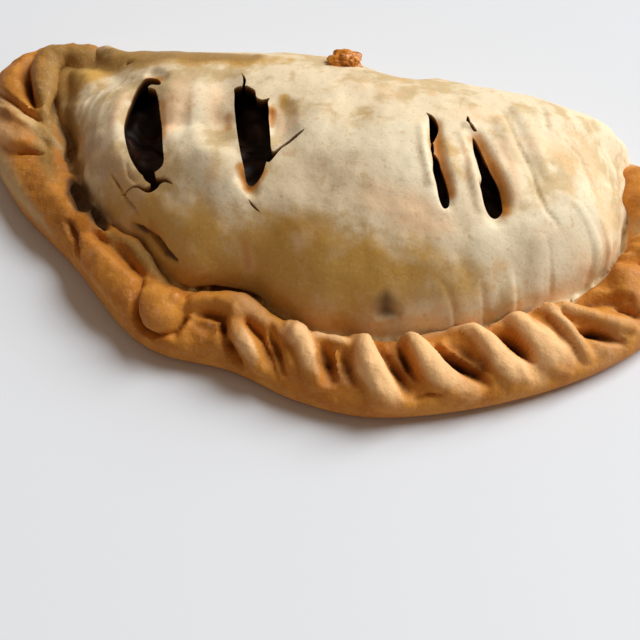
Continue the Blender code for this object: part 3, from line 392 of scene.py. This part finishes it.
def folds(places, strokes, valley=2, crest=2, flank=2, loop=None):
    """The height at each place under every stroke that reaches it, with the powers that round its section."""
    total = np.zeros(places.shape[:-1])
    for stroke in strokes:
        nearest, height = np.ones_like(total), np.zeros_like(total)
        for a, b in zip(np.array(stroke[:-1], float), np.array(stroke[1:], float)):
            offset = places - a[:2]
            if loop:
                offset[..., 0] = (offset[..., 0] + loop / 2) % loop - loop / 2
            run = b[:2] - a[:2]
            share = np.clip((offset @ run) / (run @ run), 0, 1)
            away = np.linalg.norm(offset - share[..., None] * run, axis=-1) / (a[2] + (b[2] - a[2]) * share)
            closer = away < nearest
            nearest = np.where(closer, away, nearest)
            height = np.where(closer, a[3] + (b[3] - a[3]) * share, height)
        total += height * (1 - nearest ** np.where(height < 0, valley, crest)) ** flank
    return total


def outward(grid, passes):
    """The direction out of the sheet at each of its points, evened out over its neighbours."""
    across = np.gradient(grid, axis=1)
    out = np.cross(np.roll(grid, -1, axis=0) - np.roll(grid, 1, axis=0), across)
    for _ in range(passes):
        out = unit(out)
        out = out + np.roll(out, 1, axis=0) + np.roll(out, -1, axis=0)
        out[:, 1:-1] = out[:, 1:-1] + out[:, :-2] + out[:, 2:]
    return unit(out)


def rolled_dough(stations, edge_rows, dome_rows):
    """The plain outer sheet, from under the base to the crest, and the s and q of its points."""
    fine = smooth_curve(OUTLINE, count=3600, closed=True)
    fine -= (fine.min(0) + fine.max(0)) / 2
    fine = np.vstack([fine, fine[:1]])
    at = run_length(fine)
    s = np.linspace(0, at[-1], stations, endpoint=False)
    outline = read_off(s, at, fine)
    ridge = smooth_curve(CREST, count=600)
    low, high = CREST[0][0], CREST[-1][0]
    share = np.clip(outline[:, 0] / CREST_REACH, -1, 1)
    crest = read_off((low + high) / 2 + (high - low) / 2 * share, ridge[:, 0], ridge)

    pinched, folded = smooth_curve(PINCHED_SECTION, count=600), smooth_curve(FOLDED_SECTION, count=600)
    up = run_length(pinched)
    up -= up[np.argmin(pinched[:, 0])]
    q = np.linspace(up[0], up[-1], edge_rows)
    pinched, folded = read_off(q, up, pinched), read_off(q, up, folded)
    places, widths = np.asarray(ROPE_WIDTH, float).T
    places = np.concatenate([places[-1:] - at[-1], places, places[:1] + at[-1]])
    widths = np.concatenate([widths[-1:], widths, widths[:1]])
    i = np.clip(np.searchsorted(places, s) - 1, 0, len(places) - 2)
    wide = widths[i] + (widths[i + 1] - widths[i]) * fade(places[i], places[i + 1], s)
    wide = wide / PINCHED_SECTION[-1][0]
    wide = pinched[None] * np.stack([wide, np.ones_like(wide)], axis=1)[:, None]
    turned = np.where(s > (PINCH_ENDS[1] + at[-1]) / 2, s - at[-1], s)
    share = (fade(*PINCH_STARTS, turned) * (1 - fade(*PINCH_ENDS, turned)))[:, None, None]
    section = share * wide + (1 - share) * folded
    inward = unit(crest[:, :2] - outline)
    edge = np.concatenate([outline[:, None] + inward[:, None] * section[..., :1], section[..., 1:]], axis=2)

    angle = np.linspace(0, math.pi / 2, dome_rows + 1)[1:]
    out, rise = np.cos(angle)[None, :, None], np.sin(angle)[None, :, None]
    foot, top = edge[:, -1:], crest[:, None]
    dome = np.concatenate([top[..., :2] + (foot[..., :2] - top[..., :2]) * out,
                           foot[..., 2:] + (top[..., 2:] - foot[..., 2:]) * rise], axis=2)
    reach = np.linalg.norm(dome - foot, axis=2)
    q = np.concatenate([np.broadcast_to(q, edge.shape[:2]), q[-1] + reach], axis=1)
    places = np.stack([np.broadcast_to(s[:, None], q.shape), q], axis=2)
    return np.concatenate([edge, dome], axis=1), places, at[-1]


def closed_mesh(name, grid):
    """A solid from a sheet that runs round anticlockwise and climbs: its first and last rows become caps."""
    stations, rows = grid.shape[:2]
    index = np.arange(stations * rows).reshape(stations, rows)
    after = np.roll(index, -1, axis=0)
    quads = np.stack([index[:, :-1], after[:, :-1], after[:, 1:], index[:, 1:]], axis=2).reshape(-1, 4)
    mesh = bpy.data.meshes.new(name)
    caps = [index[::-1, 0].tolist(), index[:, -1].tolist()]
    mesh.from_pydata((grid.reshape(-1, 3) * MM).tolist(), [], quads.tolist() + caps)
    return mesh


def added(name, data):
    """A new object in the scene."""
    piece = bpy.data.objects.new(name, data)
    bpy.context.scene.collection.objects.link(piece)
    return piece


def worked_in(piece):
    """Applies the piece's modifiers to its mesh."""
    bpy.context.view_layer.update()
    mesh = bpy.data.meshes.new_from_object(piece.evaluated_get(bpy.context.evaluated_depsgraph_get()))
    piece.modifiers.clear()
    piece.data = mesh


def cut_out(piece, cutters):
    for cutter in cutters:
        cut = piece.modifiers.new(cutter.name, "BOOLEAN")
        cut.operation, cut.solver, cut.object = "DIFFERENCE", "MANIFOLD", cutter
    worked_in(piece)
    for cutter in cutters:
        bpy.data.objects.remove(cutter)


def hole_cutter(name, outline, low, high):
    edge = smooth_curve(outline, count=5 * len(outline), closed=True)
    after = np.roll(edge, -1, axis=0)
    if (edge[:, 0] * after[:, 1] - edge[:, 1] * after[:, 0]).sum() < 0:
        edge = edge[::-1]
    levels = [np.column_stack([edge, np.full(len(edge), z)]) for z in (low, high)]
    return added(name, closed_mesh(name, np.stack(levels, axis=1)))


def eased(piece, passes, group=""):
    ease = piece.modifiers.new("ease", "SMOOTH")
    ease.iterations, ease.vertex_group = passes, group
    worked_in(piece)


def points_of(mesh):
    """The mesh's points, in mm."""
    values = np.empty(len(mesh.vertices) * 3, np.float32)
    mesh.vertices.foreach_get("co", values)
    return values.reshape(-1, 3).astype(float) / MM


def place_points(mesh, points):
    mesh.vertices.foreach_set("co", (points * MM).astype(np.float32).ravel())


def nearest_in(points):
    """A search for the nearest of the points."""
    tree = KDTree(len(points))
    for i, point in enumerate(points.tolist()):
        tree.insert(point, i)
    tree.balance()
    return tree


def flattened(mesh):
    """Cut level with the ground and closed there with one flat face."""
    bm = bmesh.new()
    bm.from_mesh(mesh)
    everything = bm.verts[:] + bm.edges[:] + bm.faces[:]
    bmesh.ops.bisect_plane(bm, geom=everything, plane_co=(0, 0, 0), plane_no=(0, 0, 1), clear_inner=True)
    rim = [edge for edge in bm.edges if edge.is_boundary]
    for vert in {vert for edge in rim for vert in edge.verts}:
        vert.co.z = 0
    bmesh.ops.holes_fill(bm, edges=rim)
    bm.to_mesh(mesh)
    bm.free()


sheet, places, length = rolled_dough(stations=900, edge_rows=96, dome_rows=90)
crust = added("baked_crust", closed_mesh("baked_crust", sheet))
even = crust.modifiers.new("even", "REMESH")
even.mode, even.voxel_size = "VOXEL", 0.74 * MM
worked_in(crust)
RIDGE_FROM, RIDGE_FULL = 20, 27    # the heights over which the rounding of the ridge comes in
top = crust.vertex_groups.new(name="top")
for vert in crust.data.vertices:
    top.add([vert.index], float(fade(RIDGE_FROM, RIDGE_FULL, vert.co.z / MM)), "REPLACE")
eased(crust, passes=70, group="top")
eased(crust, passes=2)

# where each point of the even mesh lies on the sheet, as s and q, worked out from the sheet's nearest point
points = points_of(crust.data)
flat_sheet = sheet.reshape(-1, 3)
tree = nearest_in(flat_sheet)
nearest = np.array([tree.find(point)[1] for point in points.tolist()])
along_s = (np.roll(sheet, -1, axis=0) - np.roll(sheet, 1, axis=0)) / (2 * length / len(sheet))
along_s = along_s.reshape(-1, 3)[nearest]
step_q = np.gradient(places[..., 1], axis=1)
along_q = (np.gradient(sheet, axis=1) / np.maximum(step_q, 1e-3)[..., None]).reshape(-1, 3)[nearest]
offset = points - flat_sheet[nearest]
ss, qq, sq = (along_s**2).sum(1), (along_q**2).sum(1), (along_s * along_q).sum(1)
so, qo = (offset * along_s).sum(1), (offset * along_q).sum(1)
square = np.maximum(ss * qq - sq**2, 1e-2)
beside = np.stack([qq * so - sq * qo, ss * qo - sq * so], axis=1) / square[:, None]
spot = places.reshape(-1, 2)[nearest] + np.clip(beside, -1, 1)
q = spot[:, 1]
turned = (spot[:, 0] + 30) % length - 30    # s, where the last 30 mm of the fold come before the corner at 0

# the relief: the rope's folds keep clear of the gap at the foot of the dome, along the front
GAP_AT, GAP_WIDE, GAP_CLEAR = 23, 3.5, 0.85    # its q, its half width and the share of a fold that goes there
rope = folds(spot, ROPE_FOLDS, valley=1.8, crest=3, flank=1.7, loop=length)
raised = rope > 0
front = fade(12, 30, turned) * fade(330, 308, turned)    # 1 along the front, 0 round the back
rope[raised] *= (1 - GAP_CLEAR * front * np.exp(-((q - GAP_AT) / GAP_WIDE) ** 2))[raised]
foot = fade(20, 26, q)    # 0 on the rope, 1 on the dome
above = points[:, :2]    # a view, which follows the points when they move
dome = folds(above, DOME_FOLDS) * foot
swell = folds(above, SWELLS) * foot
seam = folds(above, SEAMS, valley=1.4)
UNEVEN_SIZES, UNEVEN_HIGH, ROPE_HIGHER = (14, 5, 2.2), (0.5, 0.3, 0.1), (0, 0.34, 0.2)    # broad to fine
uneven = np.array([[noise.noise(point / size) for size in UNEVEN_SIZES]
                   for point in map(Vector, points.tolist())])
pinched = fade(-30, -12, turned) * fade(350, 334, turned)
rough = fade(22.4, 18.4, q) * pinched    # 1 on the rope, 0 elsewhere
uneven = uneven @ UNEVEN_HIGH + rough * (uneven @ ROPE_HIGHER)
height = rope + dome + seam + uneven
lifted = (height + swell) * fade(0, 3, q)
upright = fade(16, 25, points[:, 2])[:, None]    # high on the dome, relief goes straight up
out = outward(sheet, passes=12).reshape(-1, 3)[nearest]
points += (out * (1 - upright) + np.array([0, 0, 1]) * upright) * lifted[:, None]
place_points(crust.data, points)


WALL, FLOOR, ROOF = 6, 3.5, 3.2    # the dough round the space inside, at its foot, under it and over it


def room_inside(name, clear, drop, stations, rows):
    """The space under the dough, smaller all round by clear and lower on top by drop."""
    edge_rows = 64
    outer = rolled_dough(stations, edge_rows, rows)[0][:, edge_rows - 1:-1]
    foot, crest = outer[:, :1].copy(), outer[:, -1:]
    climb = (outer[..., 2:] - foot[..., 2:]) / (crest[..., 2:] - foot[..., 2:])
    inward = unit(crest[..., :2] - foot[..., :2])
    outer[..., :2] += inward * (WALL + clear) * (1 - climb)
    outer[..., 2:] = FLOOR + clear + (crest[..., 2:] - (FLOOR + ROOF) - 2 * clear - drop) * climb
    outer[..., 2] += folds(outer[..., :2], SWELLS) * fade(0, 0.35, climb[..., 0])
    return closed_mesh(name, outer)


hollow = added("hollow", room_inside("hollow", clear=0, drop=0, stations=90, rows=16))
tears = [hole_cutter(f"tear_{i}", hole, low=6, high=60) for i, hole in enumerate(TORN_HOLES)]
cut_out(crust, [hollow] + tears)
flattened(crust.data)

# what the shader needs to know of each point: where it lies on the skin, and how far inside it
tree = nearest_in(points)
found = [tree.find(point)[1:] for point in points_of(crust.data).tolist()]
skin = np.array([i for i, _ in found])
painted = {
    "rope": rough,
    "crease": fade(0.4, 5.4, -height),
    "lip": fade(0.2, 3, height) * fade(3, 9, q),
    "sunlit": 0.25 + 0.75 * fade(140, 170, turned) * fade(285, 245, turned),
    "browned": folds(above, BROWNED_AND_SHADED) + fade(13, 1, points[:, 2]) * (1 - pinched) * 1.1,
    "peachy_and_lit": folds(above, PEACHY_AND_LIT),
    "powdery_and_lit": folds(above, POWDERY_AND_LIT),
    "mauve_shade": folds(above, MAUVE_SHADE),
    "dull": folds(above, DULL),
    "crack_shade": fade(0.3, 1.5, -seam) + folds(above, PIT_SHADE),
    "stained_and_shaded": folds(above, STAINED_AND_SHADED),
    "floured": folds(spot, FLOURED, loop=length),
    "rosy_and_lit": folds(spot, ROSY_AND_LIT, loop=length),
    "toasted_and_shaded": folds(spot, TOASTED_AND_SHADED, loop=length),
}
painted = {name: values[skin] for name, values in painted.items()}
painted["wall"] = np.array([away for _, away in found])
for name, values in painted.items():
    crust.data.attributes.new(name, "FLOAT", "POINT").data.foreach_set("value", values.astype(np.float32))
crust.data.materials.clear()
crust.data.shade_smooth()
crust.data.set_sharp_from_angle(angle=math.radians(55))


class Shade:
    """A shader socket. Arithmetic on it adds Math nodes, and make() adds any other node."""

    def __init__(self, tree, socket=None):
        self.tree, self.socket = tree, socket

    def make(self, kind, values, settings=(), output=0):
        node = self.tree.nodes.new("ShaderNode" + kind)
        for name, setting in dict(settings).items():
            setattr(node, name, setting)
        for name, value in values.items():
            if isinstance(value, Shade):
                self.tree.links.new(value.socket, node.inputs[name])
            else:
                node.inputs[name].default_value = value
        return Shade(self.tree, node.outputs[output])

    def math(self, operation, *values):
        return self.make("Math", dict(enumerate(values)), {"operation": operation})

    def __add__(self, other):
        return self.math("ADD", self, other)

    def __sub__(self, other):
        return self.math("SUBTRACT", self, other)

    def __rsub__(self, other):
        return self.math("SUBTRACT", other, self)

    def __mul__(self, other):
        return self.math("MULTIPLY", self, other)

    __radd__, __rmul__ = __add__, __mul__

    def between(self, low, high):
        """0 at low, 1 at high."""
        values = {"Value": self, "From Min": low, "From Max": high}
        return self.make("MapRange", values, {"interpolation_type": "SMOOTHSTEP"})

    def plain(self, colour):
        """A colour for others to cover."""
        plain = self.make("RGB", {})
        plain.socket.default_value = colour
        return plain

    def over(self, share, colour):
        """This colour under another one that covers a share of it."""
        return self.make("Mix", {0: share, 6: self, 7: colour}, {"data_type": "RGBA"}, output=2)

    def grain(self, size, detail, rough=0.5):
        """Noise with features of a size in mm."""
        where = self.make("TexCoord", {}, output=3)
        values = {"Vector": where, "Scale": 1000 / size, "Detail": detail, "Roughness": rough}
        return self.make("TexNoise", values)

    def kept(self, name):
        """A number kept with each point of the piece."""
        return self.make("Attribute", {}, {"attribute_name": name}, output=2)

    def into(self, socket):
        self.tree.links.new(self.socket, socket)


def finish_named(name):
    finish = bpy.data.materials.new(name)
    finish.use_nodes = True
    return finish, Shade(finish.node_tree), finish.node_tree.nodes["Principled BSDF"]


# the dome's colours, then the rope's, then what lies over both, as linear red, green, blue and alpha
# the powder and peach colours are partly painted highlight, the mauve grey is painted shade and the baked
# brown is partly painted shade
CREAM, TAN, POWDER_AND_HIGHLIGHT = (0.82, 0.65, 0.42, 1), (0.60, 0.42, 0.20, 1), (0.87, 0.73, 0.50, 1)
MAUVE_GREY_SHADE, BAKED_AND_SHADED, PEACH_AND_HIGHLIGHT = (0.54, 0.38, 0.25, 1), (0.63, 0.345, 0.075, 1), (0.93, 0.62, 0.36, 1)
FLECK, BROWN_FLECK = (0.78, 0.46, 0.19, 1), (0.60, 0.28, 0.06, 1)
# the pale crest colour is partly painted highlight and the toast brown partly painted shade
GOLD, DEEP_GOLD, PALE_CREST_AND_HIGHLIGHT = (0.62, 0.245, 0.032, 1), (0.50, 0.155, 0.012, 1), (0.95, 0.56, 0.25, 1)
FLOUR, TOAST_AND_SHADE, KHAKI = (0.62, 0.42, 0.19, 1), (0.34, 0.12, 0.014, 1), (0.33, 0.175, 0.042, 1)
PALE_SPECK, DARK_SPECK = (0.86, 0.60, 0.34, 1), (0.36, 0.15, 0.03, 1)
# the crack brown is painted shade, in the seam's cracks and deep in the pits
SHADED, DEEP_SHADE, CRACK_SHADE = (0.24, 0.07, 0.005, 1), (0.05, 0.014, 0.002, 1), (0.10, 0.045, 0.014, 1)
# the juice colours are stains, and partly painted shade round the openings
JUICE_AND_SHADE, DARK_JUICE_AND_SHADE = (0.50, 0.17, 0.008, 1), (0.20, 0.06, 0.004, 1)
# the cut edge is a stain deepened with painted shade, and the inside colour is painted shade, near black
EDGE_STAIN_AND_SHADE, SHADE_INSIDE = (0.24, 0.08, 0.008, 1), (0.02, 0.007, 0.002, 1)

crust_finish, paint, surface = finish_named("baked_crust")
broad, middling, fine = paint.grain(30, 2), paint.grain(9, 4, 0.6), paint.grain(2.2, 5, 0.65)
speck = paint.grain(0.8, 2, 0.6)
on_rope, crease, lip = paint.kept("rope"), paint.kept("crease"), paint.kept("lip")
wall, stained_and_shaded = paint.kept("wall"), paint.kept("stained_and_shaded")
ragged = (middling - 0.5) * 1.1 + (fine - 0.5) * 0.4


def patched(under, patches):
    """A colour under ragged patches: each one's kept number, where that is full, its share and its colour."""
    for patch, full, share, colour in patches:
        under = under.over((paint.kept(patch) + ragged).between(0.1, full) * share, colour)
    return under


dough = paint.plain(CREAM).over((middling + (broad - 0.5) * 0.6).between(0.42, 0.60) * 0.9, TAN)
# the powder and peach patches are partly painted highlight, the mauve patch is painted shade and the browned
# patch is partly painted shade on the front face
dough = patched(dough, [("powdery_and_lit", 0.9, 0.85, POWDER_AND_HIGHLIGHT), ("mauve_shade", 0.9, 1, MAUVE_GREY_SHADE),
                        ("browned", 1, 1, BAKED_AND_SHADED), ("peachy_and_lit", 1.1, 0.9, PEACH_AND_HIGHLIGHT)])
dough = dough.over((paint.grain(6, 3, 0.6) + broad - 1).between(0.10, 0.30) * 0.5, FLECK)
dough = dough.over(paint.grain(3.4, 2, 0.5).between(0.62, 0.74) * 0.3, BROWN_FLECK)
gold = paint.plain(GOLD).over((middling + (fine - 0.5) * 0.4).between(0.38, 0.64) * 0.8, DEEP_GOLD)
# painted highlight: the rope's crests made paler where the light falls on the front, and the rosy patches
# with them
crests_and_highlight = lip * paint.kept("sunlit") * 0.8 + paint.kept("rosy_and_lit") * 0.7
gold = gold.over((crests_and_highlight + ragged).between(0.1, 1.1) * 0.9, PALE_CREST_AND_HIGHLIGHT)
dough = dough.over((on_rope + (middling - 0.5) * 0.3).between(0.25, 0.75), gold)
# the toasted patches are partly painted shade, in the hollows between pleats and at the left end
dough = patched(dough, [("floured", 0.9, 0.8, FLOUR), ("toasted_and_shaded", 1, 0.85, TOAST_AND_SHADE), ("dull", 0.9, 0.9, KHAKI)])
dotted = speck + (fine - 0.5) * 0.6
dough = dough.over(dotted.between(0.54, 0.78) * 0.2, PALE_SPECK)
dough = dough.over(dotted.between(0.46, 0.24) * (0.2 - lip * 0.14), DARK_SPECK)
dough = dough.over(crease.between(0, 0.55) * 0.8, SHADED)
dough = dough.over(crease.between(0.5, 1), DEEP_SHADE)
# painted shade, in the cracks of the seam and deep in the pits and grooves
dough = dough.over(paint.kept("crack_shade").between(0, 0.8) * 0.9, CRACK_SHADE)
# juice stains, and partly painted shade where the dough dips into the openings
dough = dough.over((stained_and_shaded + ragged * 0.4).between(0.0, 0.9) * 0.9, JUICE_AND_SHADE)
dough = dough.over((stained_and_shaded + ragged * 0.3).between(0.75, 1.2), DARK_JUICE_AND_SHADE)
# the walls of the openings darken with depth: a stained edge deepened with painted shade, then painted shade,
# near black, over the inside of the crust
dough = dough.over(wall.between(0.15, 1.2), EDGE_STAIN_AND_SHADE)
dough = dough.over(wall.between(0.8, 2.4), SHADE_INSIDE)
dough.into(surface.inputs["Base Color"])
surface.inputs["Specular IOR Level"].default_value = 0.25
surface.inputs["Roughness"].default_value = 0.62
grit = (fine + speck * 0.3) * (on_rope * 0.6 + 0.4)
paint.make("Bump", {"Strength": 0.5, "Distance": 0.7 * MM, "Height": grit}).into(surface.inputs["Normal"])
crust.data.materials.append(crust_finish)
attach(crust, "root")
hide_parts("crust")

# ---- filling ----------------------------------------------------------------------------------------------
# Cooked filling, coloured near black, laid on the dough before it was folded over and steamed inside it:
# lumpy and moist, and seen only through the openings.
BIG_LUMPS, SMALL_LUMPS = (2.2, 8), (1.1, 3)    # height, size
NEAR_BLACK, DARK_BROWN = (0.018, 0.006, 0.002, 1), (0.09, 0.025, 0.005, 1)

filling = added("dark_filling", room_inside("dark_filling", clear=0.4, drop=5.5, stations=260, rows=70))
soft = points_of(filling.data)
lumps = np.array([sum(high * noise.noise(point / size) for high, size in (BIG_LUMPS, SMALL_LUMPS))
                  for point in map(Vector, soft.tolist())])
soft[:, 2] += lumps * fade(5, 12, soft[:, 2])
place_points(filling.data, soft)
filling.data.shade_smooth()
filling_finish, paint, surface = finish_named("dark_filling")
# near black, with dark brown patches
filling_colour = paint.plain(NEAR_BLACK).over(paint.grain(4, 3).between(0.5, 0.7) * 0.5, DARK_BROWN)
filling_colour.into(surface.inputs["Base Color"])
surface.inputs["Roughness"].default_value = 0.55
surface.inputs["Specular IOR Level"].default_value = 0.3
filling.data.materials.append(filling_finish)
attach(filling, "root")
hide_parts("filling")

# ---- leaked cheese ----------------------------------------------------------------------------------------
# Cheese and sauce that have oozed out of the fold at the back and baked there to a rough, greasy crumb,
# stuck fast to the dough.
BLISTER_AT, BLISTER_SIZE = (1.2, 39), (4.8, 3.4, 2.6)    # half sizes
BLISTER_SEAT, BLISTER_SUNK = 1.5, 0.2    # its middle is sunk 0.2 mm below the dough within 1.5 mm
CRUMBS = ((0.45, 1.4), (0.16, 4), (0.05, 10))    # height, how many to the blister's half size
BAKED_CHEESE, DARK_CHEESE, OIL = (0.60, 0.20, 0.01, 1), (0.34, 0.085, 0.004, 1), (0.80, 0.38, 0.06, 1)

under_it = np.linalg.norm(above - BLISTER_AT, axis=1) < BLISTER_SEAT
rest = Vector((*BLISTER_AT, points[under_it, 2].max() - BLISTER_SUNK))
bm = bmesh.new()
bmesh.ops.create_icosphere(bm, subdivisions=6, radius=1)
for vert in bm.verts:
    out = vert.co.copy()
    size = sum((high * noise.noise(out * often) for high, often in CRUMBS), 1)
    vert.co = (rest + Vector([half * way for half, way in zip(BLISTER_SIZE, out)]) * size) * MM
cheese = added("browned_cheese", bpy.data.meshes.new("browned_cheese"))
bm.to_mesh(cheese.data)
bm.free()
cheese.data.shade_smooth()
cheese_finish, paint, surface = finish_named("browned_cheese")
browned = paint.plain(BAKED_CHEESE).over(paint.grain(2.2, 3).between(0.45, 0.62) * 0.8, DARK_CHEESE)
browned = browned.over(paint.grain(2, 2).between(0.58, 0.72) * 0.3, OIL)
browned.into(surface.inputs["Base Color"])
surface.inputs["Roughness"].default_value = 0.4
cheese.data.materials.append(cheese_finish)
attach(cheese, "root")
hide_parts("leaked_cheese")

# ---- stage ------------------------------------------------------------------------------------------------
# A plain pale floor in a dim, warm room, lit by one big window at the back right. The camera looks down on
# the front from a little to its right.
WINDOW_AT, WINDOW_SIZE, WINDOW_POWER = (3.7, 3.2, 4.6), 4.6, 700
LOOKS_AT, FROM_THE_RIGHT, FROM_ABOVE, AWAY = (7, -24.5, 0), 12, 53, 0.405    # mm, degrees, degrees, metres

bpy.context.scene.view_settings.view_transform = "Standard"
bpy.ops.mesh.primitive_plane_add(size=6)
floor = bpy.context.object
floor.name = "floor"
white, _, surface = finish_named("floor_white")
surface.inputs["Base Color"].default_value = (0.75, 0.75, 0.76, 1)
surface.inputs["Roughness"].default_value = 0.55
floor.data.materials.append(white)

room = bpy.data.worlds.new("room")
bpy.context.scene.world = room
room.use_nodes = True
glow = room.node_tree.nodes["Background"]
glow.inputs["Color"].default_value = (1, 0.77, 0.57, 1)
glow.inputs["Strength"].default_value = 0.22

window = bpy.data.lights.new("window", "AREA")
window.energy, window.size = WINDOW_POWER, WINDOW_SIZE
window.color = (0.88, 0.945, 1)
holder = added("window", window)
holder.location = WINDOW_AT
holder.rotation_euler = holder.location.to_track_quat("Z", "Y").to_euler()

camera = bpy.data.cameras.new("camera")
camera.sensor_width, camera.lens = 36, 84.375
holder = added("camera", camera)
azimuth, elevation = math.radians(FROM_THE_RIGHT), math.radians(FROM_ABOVE)
level = math.cos(elevation)
back = Vector((math.sin(azimuth) * level, -math.cos(azimuth) * level, math.sin(elevation)))
holder.location = Vector(LOOKS_AT) * MM + back * AWAY
holder.rotation_euler = back.to_track_quat("Z", "Y").to_euler()
bpy.context.scene.camera = holder
